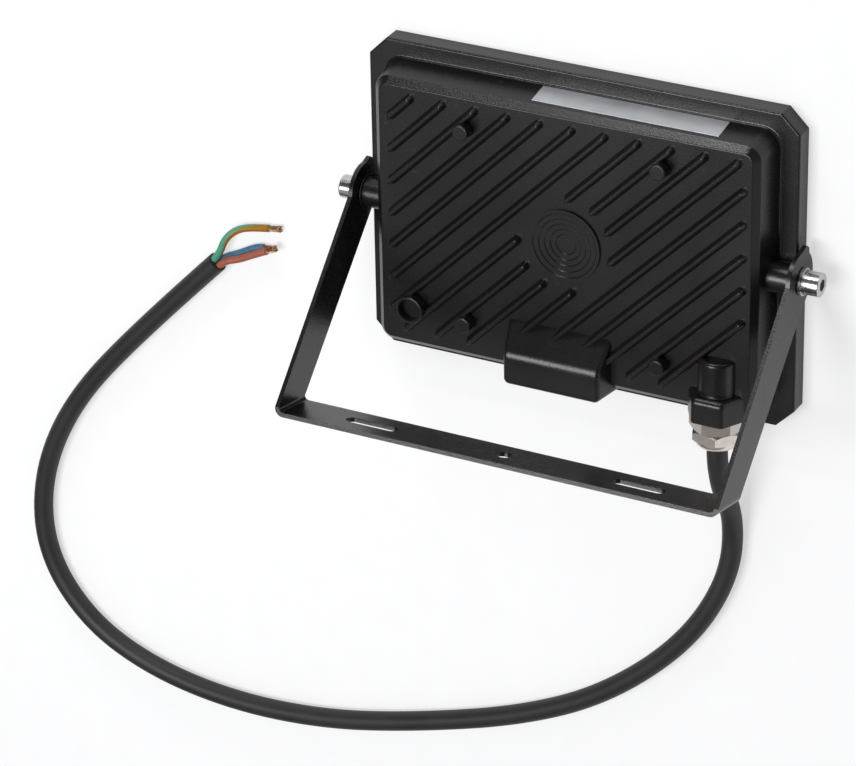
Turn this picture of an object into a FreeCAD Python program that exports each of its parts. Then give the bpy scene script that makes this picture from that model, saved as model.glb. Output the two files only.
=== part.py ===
import FreeCAD, Part
import math
import os

# Floodlight resting on its glass side. Millimetres.
# Origin: centre of the front face of the rim. +X across, +Y toward the lamp's
# top edge, +Z out of the ribbed back.

V = FreeCAD.Vector
os.makedirs("parts", exist_ok=True)

# rim and shell
RIM_W = 165.0
RIM_H = 120.0
RIM_T = 7.5
RIM_CHAMFER = 7.0
RIM_EDGE_R = 0.8
LEDGE_X = 6.9
LEDGE_Y = 6.2
FOOT_W = RIM_W - 2 * LEDGE_X
FOOT_H = RIM_H - 2 * LEDGE_Y
FOOT_FILLET = 0.8
BACK_Z = 22.0
DRAFT = math.tan(math.radians(9.0))
BACK_W = FOOT_W - 2 * DRAFT * (BACK_Z - RIM_T)
BACK_H = FOOT_H - 2 * DRAFT * (BACK_Z - RIM_T)
CORNER_R = 5.5
CORNER_GROW = 1.5
BACK_BEVEL = 2.4
BACK_ROUND = 0.6
BACK_T = 2.5
INNER_Z = BACK_Z - BACK_T

# glass and its seat in the rim
FRAME = 5.0
GLASS_W = RIM_W - 2 * FRAME
GLASS_H = RIM_H - 2 * FRAME
GLASS_T = 3.0
GLASS_CHAMFER = 5.0
GLASS_Z = 0.0
GASKET_T = 0.8
GASKET_GAP = 0.3
SEAT_GAP = 0.4
SEAT_Z = GLASS_Z + GLASS_T + GASKET_T
SEAT_LAND = 4.0
MOUTH_W = GLASS_W - 2 * SEAT_LAND
MOUTH_H = GLASS_H - 2 * SEAT_LAND
MOUTH_R = 4.5
HOLLOW_W = MOUTH_W - 2 * DRAFT * (INNER_Z - RIM_T)
HOLLOW_H = MOUTH_H - 2 * DRAFT * (INNER_Z - RIM_T)

# disc in the middle of the back, dished in rings
DISC_X = 1.1
DISC_Y = 1.3
DISC_R = 13.6
DISC_RISE = 0.9
DISC_RINGS = 5
DISC_RIM = 1.2
DISC_PITCH = 2.1
DISC_STEP = 0.36
DISC_CLEAR = 17.0

# small cast bosses
BOSS_CX = 0.6
BOSS_CY = 1.2
BOSS_X = 37.7
BOSS_Y = 37.5
BOSS_R = 3.0
BOSS_RISE = 5.4
VENT_X = 14.8 - BACK_W / 2
VENT_Y = 16.5 - BACK_H / 2
VENT_R = 5.2
VENT_BORE_R = 4.2
VENT_RISE = 5.0
VENT_DEPTH = 3.2
POST_FOOT = 0.5
POST_CROWN = 0.5

# driver box
BOX_X = -1.1
BOX_W = 37.0
BOX_X0 = BOX_X - BOX_W / 2
BOX_X1 = BOX_X + BOX_W / 2
BOX_Z = BACK_Z + 8.1
BOX_Y0 = -FOOT_H / 2 - 0.4
BOX_CREST_Y = BOX_Y0 + 12.2
BOX_SLOPE_Y = BOX_Y0 + 22.2
BOX_DRAFT = math.tan(math.radians(10.0))
BOX_WALL = 2.2
BOX_CORNER_R = 2.2
BOX_CREST_R = 6.0
BOX_EDGE_R = 1.7
BOX_ROOT = 2.0

# cable entry, a cast barrel and collar
GLAND_X = BACK_W / 2 - 14.1
GLAND_Z = 20.5
COLLAR_Y1 = 1.2 - FOOT_H / 2
COLLAR_Y0 = COLLAR_Y1 + 9.6
COLLAR_AF = 20.0
COLLAR_R = 2.4
ENTRY_R = 7.2
ENTRY_Y = COLLAR_Y1 + 22.8
ENTRY_END_R = 1.5
ENTRY_FILLET = 0.5
GLAND_BORE_R = 7.6
THREAD_DEPTH = 7.4
GLAND_SEAT_R = 10.6
GLAND_SEAT_CUT = 3.0
CABLE_BORE_R = 4.6
CABLE_BORE_Y = ENTRY_Y - 6.2

# ribs on the back
RIB_RISE = 3.0
RIB_LOW = 1.4
RIB_TOP = 0.85
RIB_FOOT = 0.6
RIB_CROWN = 0.6
RIB_PITCH = 12.49
RIB_FIRST = 20.3 - (BACK_W + BACK_H) / 2
RIB_COUNT = int((GLAND_X - ENTRY_Y - RIB_FIRST) / RIB_PITCH) + 1
RIB_X = BACK_W / 2 - 3.7
RIB_Y = BACK_H / 2 - 4.4
RIB_SETBACK = 1.6
RIB_IN_BOX = 5.5

# tilt axis
PIVOT_Z = 10.1
PIVOT_BOSS_R = 5.75
PIVOT_BOSS_END = RIM_W / 2 + 0.4
PIVOT_ROOT = BACK_W / 2 - 3.3
BOLT_R = 2.5
BOLT_GRIP = 11.9
BOLT_IN = PIVOT_BOSS_END - BOLT_GRIP

# bracket
STRIP_T = 1.6
ARM_IN = RIM_W / 2 + 1.2
ARM_OUT = ARM_IN + STRIP_T
ARM_ANGLE = math.radians(44.4)
BASE_ANGLE = math.radians(11.8)
ARM_LEN = 82.7
BASE_SHIFT = 1.1
BASE_W = 19.4
ARM_W = 17.9
EYE_R = 10.2
EYE_SHIFT = 0.8
BEND_OUT = 3.2
BEND_IN = BEND_OUT - STRIP_T
BEND_LAP = 0.1
BEND_RISE = BEND_OUT + BEND_LAP
CORNER_STEP = 1.2
SLOT_X = 51.5
SLOT_LEN = 20.2
SLOT_W = 5.4
HOLE_R = 3.0

# tilt bolts
BOLT_HEAD_R = 4.25
BOLT_HEAD_H = 5.0
BOLT_HOLE_R = 2.8
SOCKET_AF = 4.0
SOCKET_DEPTH = 2.8
SPACER_R = 6.0
WASHER_R = 5.0
WASHER_T = 1.0
SPRING_R = 4.4
SPRING_T = 1.3
TILT_GAP = 0.3

# cable gland
NUT_AF = 17.4
BODY_HEX_Y = COLLAR_Y1 - 4.6
NUT_HEX_Y = BODY_HEX_Y - 4.2
NUT_END_Y = NUT_HEX_Y - 3.2
NUT_MOUTH_R = 4.3
NUT_BORE_R = 6.9
NUT_LIP = 2.0
NECK_R = 6.6
SEAL_R = 5.45

# cable
CABLE_R = 3.8
CORE_R = 1.4
STRAND_R = 0.8
CABLE_TAIL_Y = COLLAR_Y1 + 3.6
DROP_ANGLE = math.radians(34.0)
BEND_SHARE = 0.45

# LED board, hung under the back wall
BOARD_T = 1.6
BOARD_SIDE = 12.6
BOARD_TOP = 4.1
DRIVER_ZONE = 32.2
BOARD_W = HOLLOW_W - 2 * BOARD_SIDE
BOARD_H = HOLLOW_H - DRIVER_ZONE
BOARD_Y = HOLLOW_H / 2 - BOARD_TOP - BOARD_H / 2
LED_COLS = 8
LED_ROWS = 5
LED_EDGE = 10.0
LED_PITCH_X = (BOARD_W - 2 * LED_EDGE) / (LED_COLS - 1)
LED_PITCH_Y = (BOARD_H - 2 * LED_EDGE) / (LED_ROWS - 1)
LED_SIDE = 3.0
LED_T = 0.7
SCREW_EDGE = 3.2
TRAY_T = 0.8
TRAY_GAP = 0.8
TRAY_EDGE = 6.3
TRAY_COLLAR = 2.2

# driver board beside it, under the driver box
DRIVER_X0 = BOX_X - 22.6
DRIVER_X1 = BOX_X + 35.1
DRIVER_Y0 = 1.7 - HOLLOW_H / 2
DRIVER_Y1 = BOARD_Y - BOARD_H / 2 - 3.5
DRIVER_SCREWS = [(DRIVER_X0 + 3.0, DRIVER_Y1 - 2.9), (DRIVER_X1 - 15.0, DRIVER_Y0 + 3.0)]
CAP_R = 4.0
CAP_LEN = 18.0
CAP_X = BOX_X - 9.6
CAP_Y = BOX_Y0 + BOX_WALL + CAP_R + 0.3
CAP_Z = BOX_Z - BOX_WALL - CAP_R - 0.2
LEAD_R = 1.2
POLE_H = 5.0
POLE_W = 9.5
POLE_X = DRIVER_X1 - 11.0
POLE_Y = DRIVER_Y0 + 5.2
POLE_PITCH = 4.4

# label
LABEL_X = -13.5
LABEL_W = 70.5
LABEL_H = 9.3
LABEL_T = 0.25


def box(x0, x1, y0, y1, z0, z1):
    return Part.makeBox(x1 - x0, y1 - y0, z1 - z0, V(x0, y0, z0))


def cyl(r, h, p, d=V(0, 0, 1)):
    return Part.makeCylinder(r, h, p, d)


def ring(r, bore, h, p, d=V(0, 0, 1)):
    return cyl(r, h, p, d).cut(cyl(bore, h, p, d))


def rounded_rect(w, h, r, z, cx=0.0, cy=0.0):
    x = w / 2
    y = h / 2
    k = r * (1 - math.sqrt(0.5))
    edges = []
    corners = [(1, -1), (1, 1), (-1, 1), (-1, -1)]
    for i, (sx, sy) in enumerate(corners):
        a = V(cx + sx * x, cy + sy * (y - r), z)
        b = V(cx + sx * (x - k), cy + sy * (y - k), z)
        c = V(cx + sx * (x - r), cy + sy * y, z)
        if i % 2 == 0:
            a, c = c, a
        edges.append((a, b, c))
    out = []
    for i, (a, b, c) in enumerate(edges):
        out.append(Part.Arc(a, b, c).toShape())
        out.append(Part.LineSegment(c, edges[(i + 1) % 4][0]).toShape())
    return Part.Wire(out)


def taper(w0, h0, r0, z0, w1, h1, r1, z1):
    low = rounded_rect(w0, h0, r0, z0)
    high = rounded_rect(w1, h1, r1, z1)
    return Part.makeLoft([low, high], True, True)


def chamfered_plate(w, h, c, z0, z1):
    x = w / 2
    y = h / 2
    pts = [V(x - c, -y, z0), V(x, c - y, z0), V(x, y - c, z0), V(x - c, y, z0)]
    pts += [V(c - x, y, z0), V(-x, y - c, z0), V(-x, c - y, z0), V(c - x, -y, z0)]
    face = Part.Face(Part.makePolygon(pts + [pts[0]]))
    return face.extrude(V(0, 0, z1 - z0))


def hexagon(af, y0, y1, x, z, turn=0.0):
    r = af / math.sqrt(3)
    pts = []
    for i in range(7):
        a = math.radians(60 * i) + turn
        pts.append(V(x + r * math.cos(a), y0, z + r * math.sin(a)))
    return Part.Face(Part.makePolygon(pts)).extrude(V(0, y1 - y0, 0))


def edges_where(shape, test):
    found = []
    for e in shape.Edges:
        b = e.BoundBox
        if test(b):
            found.append(e)
    return found


def section(low, top, rise, foot, crown, place):
    # edges of half a rib's or post's section, from its foot up to its middle;
    # place(r, z) gives the point r beside the middle line at height z
    k = 1 - math.sqrt(0.5)
    sunk = BACK_Z - 0.05
    high = BACK_Z + rise
    pts = [(low + foot, sunk - 1.0), (low + foot, sunk)]
    pts += [(low + foot * k, sunk + foot * k), (low, sunk + foot)]
    pts += [(top, high - crown), (top - crown * k, high - crown * k), (top - crown, high)]
    a = [place(r, z) for r, z in pts]
    return [
        Part.LineSegment(a[0], a[1]).toShape(),
        Part.Arc(a[1], a[2], a[3]).toShape(),
        Part.LineSegment(a[3], a[4]).toShape(),
        Part.Arc(a[4], a[5], a[6]).toShape(),
    ]


def turned(x, y, start, angle, low, top, rise, foot, crown):
    # the section turned about a vertical line through x, y
    edges = section(
        low, top, rise, foot, crown, lambda r, z: V(x + r * start.x, y + r * start.y, z)
    )
    first = edges[0].Vertexes[0].Point
    last = edges[-1].Vertexes[-1].Point
    over = V(x, y, last.z)
    under = V(x, y, first.z)
    edges.append(Part.LineSegment(last, over).toShape())
    edges.append(Part.LineSegment(over, under).toShape())
    edges.append(Part.LineSegment(under, first).toShape())
    return Part.Face(Part.Wire(edges)).revolve(under, V(0, 0, 1), angle)


def post(x, y, r, rise):
    return turned(x, y, V(1, 0, 0), 360, r, r, rise, POST_FOOT, POST_CROWN)


def rib_bar(c, x0, x1):
    # straight bar with half-round ends, on the line y = x - c
    inset = (RIB_LOW + RIB_FOOT) / math.sqrt(2)
    a = V(x0 + inset, x0 + inset - c, 0)
    b = V(x1 - inset, x1 - inset - c, 0)
    side = V(1, -1, 0) * (1 / math.sqrt(2))
    shape = (RIB_LOW, RIB_TOP, RIB_RISE, RIB_FOOT, RIB_CROWN)
    right = section(*shape, lambda r, z: V(a.x + r * side.x, a.y + r * side.y, z))
    left = section(*shape, lambda r, z: V(a.x - r * side.x, a.y - r * side.y, z))
    ridge = Part.LineSegment(right[-1].Vertexes[-1].Point, left[-1].Vertexes[-1].Point)
    base = Part.LineSegment(left[0].Vertexes[0].Point, right[0].Vertexes[0].Point)
    wire = Part.Wire(Part.__sortEdges__(right + left + [ridge.toShape(), base.toShape()]))
    bar = Part.Face(wire).extrude(b - a)
    ends = [turned(b.x, b.y, side, 180, *shape), turned(a.x, a.y, side, -180, *shape)]
    return bar.multiFuse(ends)


def rib_ends(c):
    x0 = max(-RIB_X, c - RIB_Y) + RIB_SETBACK
    x1 = min(RIB_X, c + RIB_Y)
    # ribs that meet the driver box run a little way into it
    if c + BOX_SLOPE_Y > BOX_X0 - 2 and c - RIB_Y < BOX_X1 + 2:
        x0 = min(c + BOX_SLOPE_Y - RIB_IN_BOX, BOX_X1 - 1.0)
    return x0, x1


def ribs():
    made = []
    for k in range(RIB_COUNT):
        c = RIB_FIRST + RIB_PITCH * k
        x0, x1 = rib_ends(c)
        # distance of the rib line from the disc's centre
        off = (c - DISC_X + DISC_Y) / math.sqrt(2)
        if abs(off) < DISC_CLEAR:
            half = math.sqrt(DISC_CLEAR ** 2 - off ** 2) / math.sqrt(2)
            mid = (DISC_X + DISC_Y + c) / 2
            made.append(rib_bar(c, x0, mid - half))
            made.append(rib_bar(c, mid + half, x1))
        else:
            made.append(rib_bar(c, x0, x1))
    return made


def disc():
    return cyl(DISC_R, DISC_RISE + 1.0, V(DISC_X, DISC_Y, BACK_Z - 1.0))


def disc_dish():
    # what is taken out above the rings, which step down toward the middle
    top = BACK_Z + DISC_RISE
    r = DISC_R - DISC_RIM
    pts = [V(0, 0, top + 1), V(r, 0, top + 1), V(r, 0, top)]
    for i in range(DISC_RINGS):
        z = top - DISC_STEP * (i + 1)
        pts += [V(r - DISC_STEP, 0, z), V(r - DISC_PITCH, 0, z)]
        r -= DISC_PITCH
    pts[-1] = V(0, 0, pts[-1].z)
    dish = Part.Face(Part.makePolygon(pts + [pts[0]])).revolve(V(0, 0, 0), V(0, 0, 1), 360)
    dish.translate(V(DISC_X, DISC_Y, 0))
    return dish


def box_shape(grow):
    # driver box outline, shrunk by -grow for its hollow
    x0 = BOX_X0 - grow
    x1 = BOX_X1 + grow
    top = BOX_Z + grow
    base = RIM_T
    spread = BOX_DRAFT * (top - base)
    # the slope runs on below the back wall
    lean = (BOX_SLOPE_Y - BOX_CREST_Y) / (BOX_Z - BACK_Z)
    y0 = BOX_Y0 - grow
    y1 = BOX_SLOPE_Y + grow + lean * BOX_ROOT
    low = [V(x0 - spread, y0, base), V(x1 + spread, y0, base)]
    low += [V(x1 + spread, y1, base), V(x0 - spread, y1, base)]
    high = [V(x0, y0, top), V(x1, y0, top), V(x1, y1, top), V(x0, y1, top)]
    tapered = Part.makeLoft(
        [Part.makePolygon(low + [low[0]]), Part.makePolygon(high + [high[0]])], True, True
    )
    crest = BOX_CREST_Y + 0.4 * grow
    left = x0 - 2 * spread
    side = [V(left, y0, base), V(left, y0, top), V(left, crest, top)]
    side += [V(left, y1, BACK_Z + grow - BOX_ROOT), V(left, y1, base)]
    prism = Part.Face(Part.makePolygon(side + [side[0]])).extrude(V(x1 - x0 + 4 * spread, 0, 0))
    return tapered.common(prism)


def driver_box():
    body = box_shape(0.0)
    upright = edges_where(
        body, lambda b: b.YMax < BOX_Y0 + 0.1 and b.ZLength > 10 and b.YLength < 0.1
    )
    body = body.makeFillet(BOX_CORNER_R, upright)
    crest = edges_where(
        body,
        lambda b: b.XLength > BOX_W / 2 and b.ZMin > BOX_Z - 0.1 and b.YMin > BOX_Y0 + 3,
    )
    body = body.makeFillet(BOX_CREST_R, crest)
    rest = edges_where(
        body, lambda b: b.ZMax > BOX_Z - 2.8 and b.ZMin > BACK_Z - BOX_ROOT - 0.1
        and b.XLength < 20 or b.ZMin > BOX_Z - 0.1 and b.YMax < BOX_Y0 + 3
    )
    return body.makeFillet(BOX_EDGE_R, rest)


def gland_entry():
    z = GLAND_Z
    barrel = cyl(ENTRY_R, ENTRY_Y - COLLAR_Y1, V(GLAND_X, COLLAR_Y1, z), V(0, 1, 0))
    rim = edges_where(barrel, lambda b: b.YMin > ENTRY_Y - 0.1)
    barrel = barrel.makeFillet(ENTRY_END_R, rim)
    collar = hexagon(COLLAR_AF, COLLAR_Y0, COLLAR_Y1, GLAND_X, z)
    collar = collar.makeFillet(COLLAR_R, edges_where(collar, lambda b: b.YLength > 5))
    ends = edges_where(collar, lambda b: b.YMin > COLLAR_Y0 - 0.1)
    collar = collar.makeFillet(COLLAR_R - 0.2, ends)
    body = barrel.fuse(collar)
    neck = edges_where(
        body, lambda b: b.YLength < 0.05 and abs(b.YMax - COLLAR_Y0) < 0.05
        and abs(b.XLength - 2 * ENTRY_R) < 0.1
    )
    body = body.makeFillet(ENTRY_FILLET, neck)
    # foot that carries the barrel down into the plate
    foot = box(GLAND_X - ENTRY_R, GLAND_X + ENTRY_R, COLLAR_Y1, ENTRY_Y - 2.5, INNER_Z, z)
    return body.fuse(foot)


def pivot_boss(side):
    h = PIVOT_BOSS_END - PIVOT_ROOT
    body = cyl(PIVOT_BOSS_R, h, V(side * PIVOT_ROOT, 0, PIVOT_Z), V(side, 0, 0))
    end = edges_where(body, lambda b: max(abs(b.XMin), abs(b.XMax)) > PIVOT_BOSS_END - 0.1
                      and b.XLength < 0.1)
    return body.makeFillet(0.6, end)


def shell():
    # wall with draft, then a bevel up to the flat back
    edge_z = BACK_Z - BACK_BEVEL
    edge_w = FOOT_W - 2 * DRAFT * (edge_z - RIM_T)
    edge_h = FOOT_H - 2 * DRAFT * (edge_z - RIM_T)
    root = RIM_T - 1.0
    root_w = FOOT_W + 2 * DRAFT * (RIM_T - root)
    root_h = FOOT_H + 2 * DRAFT * (RIM_T - root)
    wall = taper(root_w, root_h, CORNER_R + CORNER_GROW, root, edge_w, edge_h, CORNER_R, edge_z)
    flat_w = edge_w - 2 * BACK_BEVEL
    flat_h = edge_h - 2 * BACK_BEVEL
    flat_r = CORNER_R - BACK_BEVEL
    body = wall.fuse(taper(edge_w, edge_h, CORNER_R, edge_z, flat_w, flat_h, flat_r, BACK_Z))
    body = body.removeSplitter()
    bends = edges_where(body, lambda b: b.ZMin > edge_z - 0.05 and b.ZLength < 0.05)
    return body.makeFillet(BACK_ROUND, bends)


def housing():
    rim = chamfered_plate(RIM_W, RIM_H, RIM_CHAMFER, 0.0, RIM_T)
    edges = edges_where(rim, lambda b: b.ZMin > RIM_T - 0.1 or b.ZLength > 5)
    rim = rim.makeFillet(RIM_EDGE_R, edges)
    body = rim.fuse(shell())
    inside = FOOT_W / 2 + 0.1
    foot = edges_where(
        body, lambda b: abs(b.ZMin - RIM_T) < 0.02 and b.ZLength < 0.02
        and max(abs(b.XMin), abs(b.XMax)) < inside and max(abs(b.YMin), abs(b.YMax)) < inside
        and max(abs(b.YMin), abs(b.YMax)) < FOOT_H / 2 + 0.1
    )
    body = body.makeFillet(FOOT_FILLET, foot)
    adds = [driver_box(), gland_entry(), disc()]
    adds += [pivot_boss(s) for s in (-1, 1)]
    for sx in (-1, 1):
        for sy in (-1, 1):
            adds.append(post(BOSS_CX + sx * BOSS_X, BOSS_CY + sy * BOSS_Y, BOSS_R, BOSS_RISE))
    adds.append(post(VENT_X, VENT_Y, VENT_R, VENT_RISE))
    adds += ribs()
    body = body.multiFuse(adds)

    cuts = [disc_dish()]
    cuts.append(
        taper(MOUTH_W, MOUTH_H, MOUTH_R, RIM_T, HOLLOW_W, HOLLOW_H, MOUTH_R, INNER_Z)
    )
    mouth = rounded_rect(MOUTH_W, MOUTH_H, MOUTH_R, 0.0)
    cuts.append(Part.Face(mouth).extrude(V(0, 0, RIM_T)))
    cuts.append(
        chamfered_plate(
            GLASS_W + 2 * SEAT_GAP, GLASS_H + 2 * SEAT_GAP, GLASS_CHAMFER, 0.0, SEAT_Z
        )
    )
    cuts.append(box_shape(-BOX_WALL))
    cuts.append(cyl(VENT_BORE_R, VENT_DEPTH, V(VENT_X, VENT_Y, BACK_Z + VENT_RISE - VENT_DEPTH)))
    # flat seat for the gland's hexagon in the sloping wall
    seat = V(GLAND_X, COLLAR_Y1 - GLAND_SEAT_CUT, GLAND_Z)
    cuts.append(cyl(GLAND_SEAT_R, GLAND_SEAT_CUT, seat, V(0, 1, 0)))
    # gland thread bore, then the cable's way into the shell
    entry = V(GLAND_X, COLLAR_Y1, GLAND_Z)
    cuts.append(cyl(GLAND_BORE_R, THREAD_DEPTH, entry, V(0, 1, 0)))
    cuts.append(cyl(CABLE_BORE_R, CABLE_BORE_Y - COLLAR_Y1, entry, V(0, 1, 0)))
    for s in (-1, 1):
        depth = BOLT_GRIP + 0.5
        cuts.append(cyl(BOLT_R + 0.05, depth, V(s * (BOLT_IN - 0.5), 0, PIVOT_Z), V(s, 0, 0)))
    for c in cuts:
        body = body.cut(c)
    return body.removeSplitter()


def bracket():
    a = V(0, -math.cos(ARM_ANGLE), math.sin(ARM_ANGLE))
    n = V(0, math.sin(ARM_ANGLE), math.cos(ARM_ANGLE))
    b = V(0, -math.cos(BASE_ANGLE), math.sin(BASE_ANGLE))
    e = V(0, math.sin(BASE_ANGLE), math.cos(BASE_ANGLE))
    pivot = V(0, 0, PIVOT_Z)
    seat = pivot + a * ARM_LEN + e * BASE_SHIFT
    outer = seat + b * STRIP_T

    def at(x, t, h):
        # x across, t along the strip's width, h back from its mounting face
        return outer + V(x, 0, 0) + e * t - b * h

    def strip_section(half, r, t0, t1):
        top = BEND_RISE
        k = r * (1 - math.sqrt(0.5))
        pts = [at(-half, t0, top), at(-half, t0, r), at(-half + k, t0, k), at(-half + r, t0, 0)]
        mirror = [at(half - r, t0, 0), at(half - k, t0, k), at(half, t0, r), at(half, t0, top)]
        return pts, mirror

    half_w = BASE_W / 2
    lines = []
    o, om = strip_section(ARM_OUT, BEND_OUT, -half_w, half_w)
    inner_half = ARM_IN
    k = BEND_IN * (1 - math.sqrt(0.5))
    t0 = -half_w
    i = [at(inner_half, t0, BEND_RISE), at(inner_half, t0, STRIP_T + BEND_IN)]
    i += [at(inner_half - k, t0, STRIP_T + k), at(inner_half - BEND_IN, t0, STRIP_T)]
    im = [at(BEND_IN - inner_half, t0, STRIP_T), at(k - inner_half, t0, STRIP_T + k)]
    im += [at(-inner_half, t0, STRIP_T + BEND_IN), at(-inner_half, t0, BEND_RISE)]
    lines.append(Part.LineSegment(o[0], o[1]).toShape())
    lines.append(Part.Arc(o[1], o[2], o[3]).toShape())
    lines.append(Part.LineSegment(o[3], om[0]).toShape())
    lines.append(Part.Arc(om[0], om[1], om[2]).toShape())
    lines.append(Part.LineSegment(om[2], om[3]).toShape())
    lines.append(Part.LineSegment(om[3], i[0]).toShape())
    lines.append(Part.LineSegment(i[0], i[1]).toShape())
    lines.append(Part.Arc(i[1], i[2], i[3]).toShape())
    lines.append(Part.LineSegment(i[3], im[0]).toShape())
    lines.append(Part.Arc(im[0], im[1], im[2]).toShape())
    lines.append(Part.LineSegment(im[2], im[3]).toShape())
    lines.append(Part.LineSegment(im[3], o[0]).toShape())
    strip = Part.Face(Part.Wire(lines)).extrude(e * BASE_W)

    # arms lean in their own plane from the strip to the eye
    near_foot = at(0, half_w, BEND_OUT)
    far_foot = at(0, -half_w, BEND_OUT)
    near_eye = pivot + n * (ARM_W / 2)
    far_eye = pivot - n * (ARM_W / 2)
    near_low = at(0, half_w, BEND_RISE)
    solids = [strip]
    for s in (-1, 1):
        x = ARM_IN if s > 0 else -ARM_OUT
        step = at(0, -half_w - CORNER_STEP, BEND_OUT + STRIP_T)
        pts = [far_foot, near_foot, near_low, near_eye, far_eye, step]
        outline = [p + V(x, 0, 0) for p in pts]
        web = Part.Face(Part.makePolygon(outline + [outline[0]])).extrude(V(STRIP_T, 0, 0))
        centre = pivot + n * EYE_SHIFT + V(x, 0, 0)
        eye = cyl(EYE_R, STRIP_T, centre, V(1, 0, 0))
        # small nib beyond the eye, given along and across the arm
        tab = [(0.0, 0.0), (-9.2, 0.1), (-11.6, 2.8), (-11.2, 5.4), (-5.5, 8.6)]
        tab = [pivot + V(x, 0, 0) + a * u + n * w for u, w in tab]
        nib = Part.Face(Part.makePolygon(tab + [tab[0]])).extrude(V(STRIP_T, 0, 0))
        solids += [web, eye, nib]
    body = solids[0].multiFuse(solids[1:]).removeSplitter()

    cuts = [cyl(BOLT_HOLE_R, 200, V(-100, 0, PIVOT_Z), V(1, 0, 0))]
    cuts.append(cyl(HOLE_R, 10, seat - b * 4, b))
    for s in (-1, 1):
        reach = (SLOT_LEN - SLOT_W) / 2
        for d in (-1, 1):
            p = seat - b * 4 + V(s * SLOT_X + d * reach, 0, 0)
            cuts.append(cyl(SLOT_W / 2, 10, p, b))
        mid = seat - b * 4 + V(s * SLOT_X - reach, 0, 0) - e * (SLOT_W / 2)
        quad = [mid, mid + V(2 * reach, 0, 0), mid + V(2 * reach, 0, 0) + e * SLOT_W]
        quad.append(mid + e * SLOT_W)
        cuts.append(Part.Face(Part.makePolygon(quad + [quad[0]])).extrude(b * 10))
    for c in cuts:
        body = body.cut(c)
    return body


def tilt_bolt(s):
    x = ARM_OUT + TILT_GAP + WASHER_T + SPRING_T
    d = V(s, 0, 0)
    shank = cyl(BOLT_R, x - BOLT_IN, V(s * BOLT_IN, 0, PIVOT_Z), d)
    head = cyl(BOLT_HEAD_R, BOLT_HEAD_H, V(s * x, 0, PIVOT_Z), d)
    far = edges_where(
        head,
        lambda b: b.XLength < 0.1 and max(abs(b.XMin), abs(b.XMax)) > x + BOLT_HEAD_H - 1,
    )
    head = head.makeFillet(0.5, far)
    r = SOCKET_AF / math.sqrt(3)
    floor = x + BOLT_HEAD_H - SOCKET_DEPTH
    pts = []
    for i in range(7):
        t = math.radians(60 * i)
        pts.append(V(s * floor, r * math.cos(t), PIVOT_Z + r * math.sin(t)))
    socket = Part.Face(Part.makePolygon(pts)).extrude(d * 5)
    return shank.fuse(head).cut(socket)


def spacer(s):
    x = PIVOT_BOSS_END
    return ring(SPACER_R, BOLT_R + 0.2, ARM_IN - TILT_GAP - x, V(s * x, 0, PIVOT_Z), V(s, 0, 0))


def flat_washer(s):
    x = ARM_OUT + TILT_GAP
    return ring(WASHER_R, BOLT_R + 0.15, WASHER_T, V(s * x, 0, PIVOT_Z), V(s, 0, 0))


def spring_washer(s):
    x = ARM_OUT + TILT_GAP + WASHER_T
    body = ring(SPRING_R, BOLT_R + 0.1, SPRING_T, V(s * x, 0, PIVOT_Z), V(s, 0, 0))
    slit = Part.makeBox(8, 0.7, 6, V(-4, -0.35, 0))
    slit.rotate(V(0, 0, 0), V(1, 0, 0), 20)
    slit.translate(V(s * (x + SPRING_T / 2), 0, PIVOT_Z))
    return body.cut(slit)


def front_glass():
    body = chamfered_plate(GLASS_W, GLASS_H, GLASS_CHAMFER, GLASS_Z, GLASS_Z + GLASS_T)
    return body.makeChamfer(0.3, edges_where(body, lambda b: b.ZLength < 0.1))


def glass_gasket():
    z = GLASS_Z + GLASS_T
    g = 2 * GASKET_GAP
    body = chamfered_plate(GLASS_W - g, GLASS_H - g, GLASS_CHAMFER, z, SEAT_Z)
    hole = rounded_rect(MOUTH_W + g, MOUTH_H + g, MOUTH_R, z - 1)
    return body.cut(Part.Face(hole).extrude(V(0, 0, GASKET_T + 2)))


def led_board():
    z = INNER_Z - BOARD_T
    face = rounded_rect(BOARD_W, BOARD_H, 2.0, z, 0.0, BOARD_Y)
    body = Part.Face(face).extrude(V(0, 0, BOARD_T))
    for p in board_screw_points():
        body = body.cut(cyl(1.6, 4, p + V(0, 0, -3)))
    return body


def board_screw_points():
    pts = []
    for sx in (-1, 0, 1):
        for sy in (-1, 1):
            x = sx * (BOARD_W / 2 - SCREW_EDGE)
            y = BOARD_Y + sy * (BOARD_H / 2 - SCREW_EDGE)
            pts.append(V(x, y, INNER_Z))
    return pts


def board_screws():
    made = []
    under = INNER_Z - BOARD_T
    for p in board_screw_points():
        head = cyl(2.6, 1.6, V(p.x, p.y, under - 1.6))
        low = edges_where(head, lambda b: b.ZMax < under - 1.5)
        head = head.makeFillet(0.6, low)
        shank = cyl(1.4, BOARD_T - 0.05, V(p.x, p.y, under))
        slot = box(p.x - 1.8, p.x + 1.8, p.y - 0.3, p.y + 0.3, under - 1.7, under - 0.9)
        cross = box(p.x - 0.3, p.x + 0.3, p.y - 1.8, p.y + 1.8, under - 1.7, under - 0.9)
        made.append(head.fuse(shank).cut(slot).cut(cross))
    return made


def led_points():
    pts = []
    for i in range(LED_COLS):
        for j in range(LED_ROWS):
            x = (i - (LED_COLS - 1) / 2) * LED_PITCH_X
            y = BOARD_Y + (j - (LED_ROWS - 1) / 2) * LED_PITCH_Y
            pts.append((x, y))
    return pts


def leds():
    made = []
    z = INNER_Z - BOARD_T - LED_T
    h = LED_SIDE / 2
    for x, y in led_points():
        case = box(x - h, x + h, y - h, y + h, z, z + LED_T)
        made.append(case.cut(cyl(1.15, 0.25, V(x, y, z))))
    return made


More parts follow.
